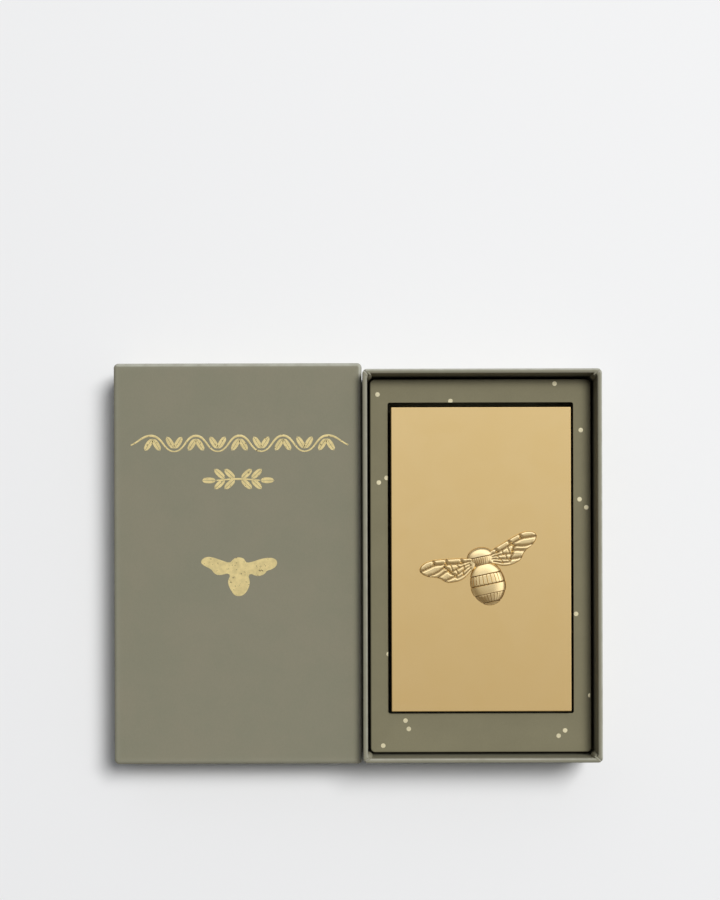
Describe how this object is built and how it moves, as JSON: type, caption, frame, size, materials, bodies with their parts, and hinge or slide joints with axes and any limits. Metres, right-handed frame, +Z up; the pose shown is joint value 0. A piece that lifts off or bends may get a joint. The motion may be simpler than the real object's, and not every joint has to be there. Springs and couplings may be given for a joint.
{
  "type": "matchbox holder",
  "caption": "Polished metal sleeve with a relief bee that holds a match box, set in a card platform inside a paper-covered presentation box whose lift-off lid lies beside it.",
  "frame": {"origin": "centre of the base's underside, on the surface that the set lies on", "axes": "+X across the base, away from the lid; +Y along the base, towards the head of the bee; +Z up"},
  "size_m": [0.1799, 0.1484, 0.03],
  "materials": {
    "sage_paper": "fine uncoated cover paper, matt",
    "lining_paper": "plain lining paper, matt",
    "grey_board": "grey recycled board",
    "kraft_tape": "brown gummed tape",
    "platform_card": "matt card with foil dots",
    "gold_metal": "polished and lacquered, gold colour",
    "gold_relief": "polished relief with finely ribbed bands",
    "cover_card": "plain pale card",
    "striker_strip": "rough brown striking surface",
    "tray_card": "plain pale card",
    "stick_wood": "pale bare wood",
    "head_compound": "dry match compound, dull dark red"
  },
  "bodies": {
    "base": {"base_board": "grey_board", "base_corner_stays": "kraft_tape", "base_wrap": "sage_paper", "base_lining": "lining_paper"},
    "lid": {"lid_board": "grey_board", "lid_corner_stays": "kraft_tape", "lid_wrap": "sage_paper", "lid_lining": "lining_paper"},
    "platform": {"platform_card": "platform_card"},
    "sleeve": {"sleeve_shell": "gold_metal", "bee_emblem": "gold_relief", "matchbox_cover": "cover_card", "striker_strips": "striker_strip"},
    "drawer": {"drawer_tray": "tray_card", "match_sticks": "stick_wood", "match_heads": "head_compound"}
  },
  "joints": [
    {"name": "lid_lift", "type": "slide", "parent": "base", "child": "lid", "axis": [0, 0, 1], "range_m": [0, 0.06]},
    {"name": "platform_lift", "type": "slide", "parent": "base", "child": "platform", "axis": [0, 0, 1], "range_m": [0, 0.06]},
    {"name": "sleeve_lift", "type": "slide", "parent": "base", "child": "sleeve", "axis": [0, 0, 1], "range_m": [0, 0.18]},
    {"name": "drawer_slide", "type": "slide", "parent": "sleeve", "child": "drawer", "axis": [0, 1, 0], "range_m": [0, 0.0414]}
  ],
  "couplings": [
    {"joint": "drawer_slide", "follows": "sleeve_lift", "ratio": 0.23}
  ]
}
